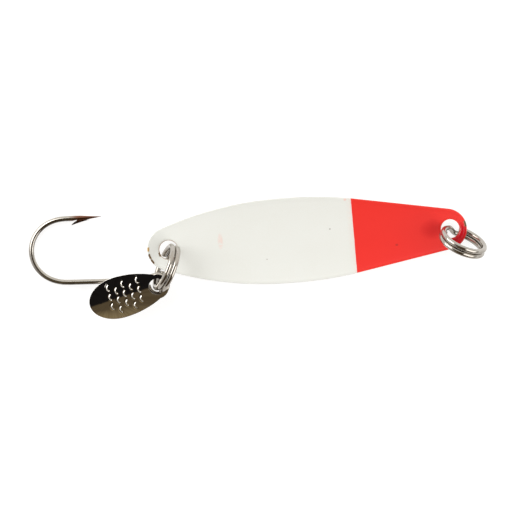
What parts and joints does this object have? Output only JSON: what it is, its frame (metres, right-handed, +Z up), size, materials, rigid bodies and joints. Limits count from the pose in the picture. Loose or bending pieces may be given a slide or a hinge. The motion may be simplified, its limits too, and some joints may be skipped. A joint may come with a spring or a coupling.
{
  "type": "spoon lure",
  "caption": "Slim trolling spoon lure: curved painted metal blade with a split ring at each end, a barbed single hook and a small polished spinner blade on the tail ring.",
  "frame": {"origin": "the point where the belly of the blade rests on a level surface", "axes": "+X along the blade to its head, +Z up out of the painted hollow face, the lure lying flat with its tail ring, hook and spinner blade at -X"},
  "size_m": [0.0817, 0.0194, 0.0089],
  "materials": {
    "blade_paint": "semi-gloss enamel on brass sheet: off-white body with a red head, thin dull nickel plating underneath and chipped edges",
    "ring_metal": "bright nickel-plated round wire",
    "hook_metal": "bright plated hook wire with a slightly bronze point",
    "spinner_metal": null
  },
  "bodies": {
    "lure_blade": {"blade": "blade_paint"},
    "head_ring": {"head_split_ring": "ring_metal"},
    "tail_ring": {"tail_split_ring": "ring_metal"},
    "hook": {"hook": "hook_metal"},
    "spinner": {"spinner_blade": "spinner_metal"}
  },
  "joints": [
    {"name": "head_ring_swing", "type": "hinge", "parent": "lure_blade", "child": "head_ring", "pos_m": [0.02567, 0.00003, 0.00249], "axis": [0, 0, 1], "range_deg": [-50, 40]},
    {"name": "tail_ring_swing", "type": "hinge", "parent": "lure_blade", "child": "tail_ring", "pos_m": [-0.02485, -0.00016, 0.00234], "axis": [0, 0, 1], "range_deg": [-100, 20]},
    {"name": "hook_swing", "type": "hinge", "parent": "tail_ring", "child": "hook", "pos_m": [-0.02719, -0.0062, 0.00257], "axis": [-0.0924, 0, 0.9957], "range_deg": [-25, 120]},
    {"name": "spinner_swing", "type": "hinge", "parent": "tail_ring", "child": "spinner", "pos_m": [-0.02735, -0.00657, 0.00396], "axis": [-0.0924, 0, 0.9957], "range_deg": [-60, 120]}
  ]
}
